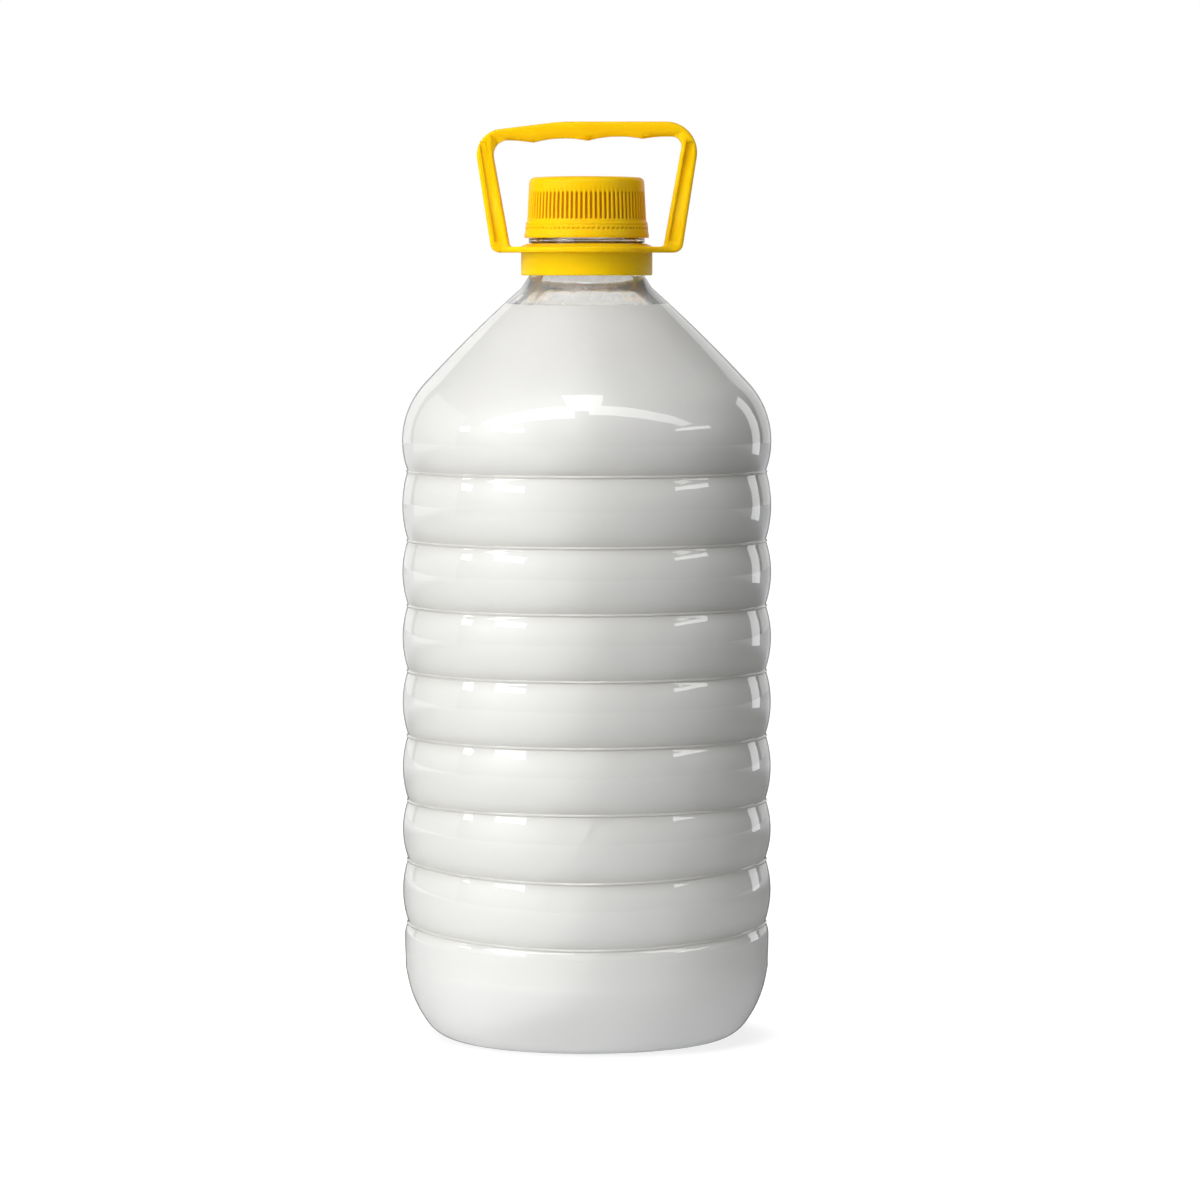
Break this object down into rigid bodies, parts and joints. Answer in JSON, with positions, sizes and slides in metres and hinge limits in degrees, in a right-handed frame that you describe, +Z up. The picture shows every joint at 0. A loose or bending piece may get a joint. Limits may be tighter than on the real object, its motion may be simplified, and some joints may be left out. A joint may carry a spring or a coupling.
{
  "type": "disinfectant jug",
  "caption": "Tall round clear plastic jug full of milky disinfectant, with ring grooves, a ribbed yellow screw cap and a yellow carrying handle that turns on the neck.",
  "frame": {"origin": "middle of the base, on the surface that the jug stands on", "axes": "+Z up along the bottle's axis; the handle's arms lie at -X and +X, and -Y is the front"},
  "size_m": [0.156, 0.156, 0.3874],
  "materials": {
    "clear_wall": "clear blown polyester, glossy",
    "milky_liquid": "opaque white liquid",
    "cap_yellow": "moulded, satin",
    "handle_yellow": "moulded, satin"
  },
  "bodies": {
    "jug": {"bottle": "clear_wall", "liquid": "milky_liquid", "cap": "cap_yellow"},
    "carrier": {"handle": "handle_yellow"}
  },
  "joints": [
    {"name": "handle_swivel", "type": "hinge", "parent": "jug", "child": "carrier", "pos_m": [0, 0, 0.33], "axis": [0, 0, 1], "continuous": true}
  ]
}
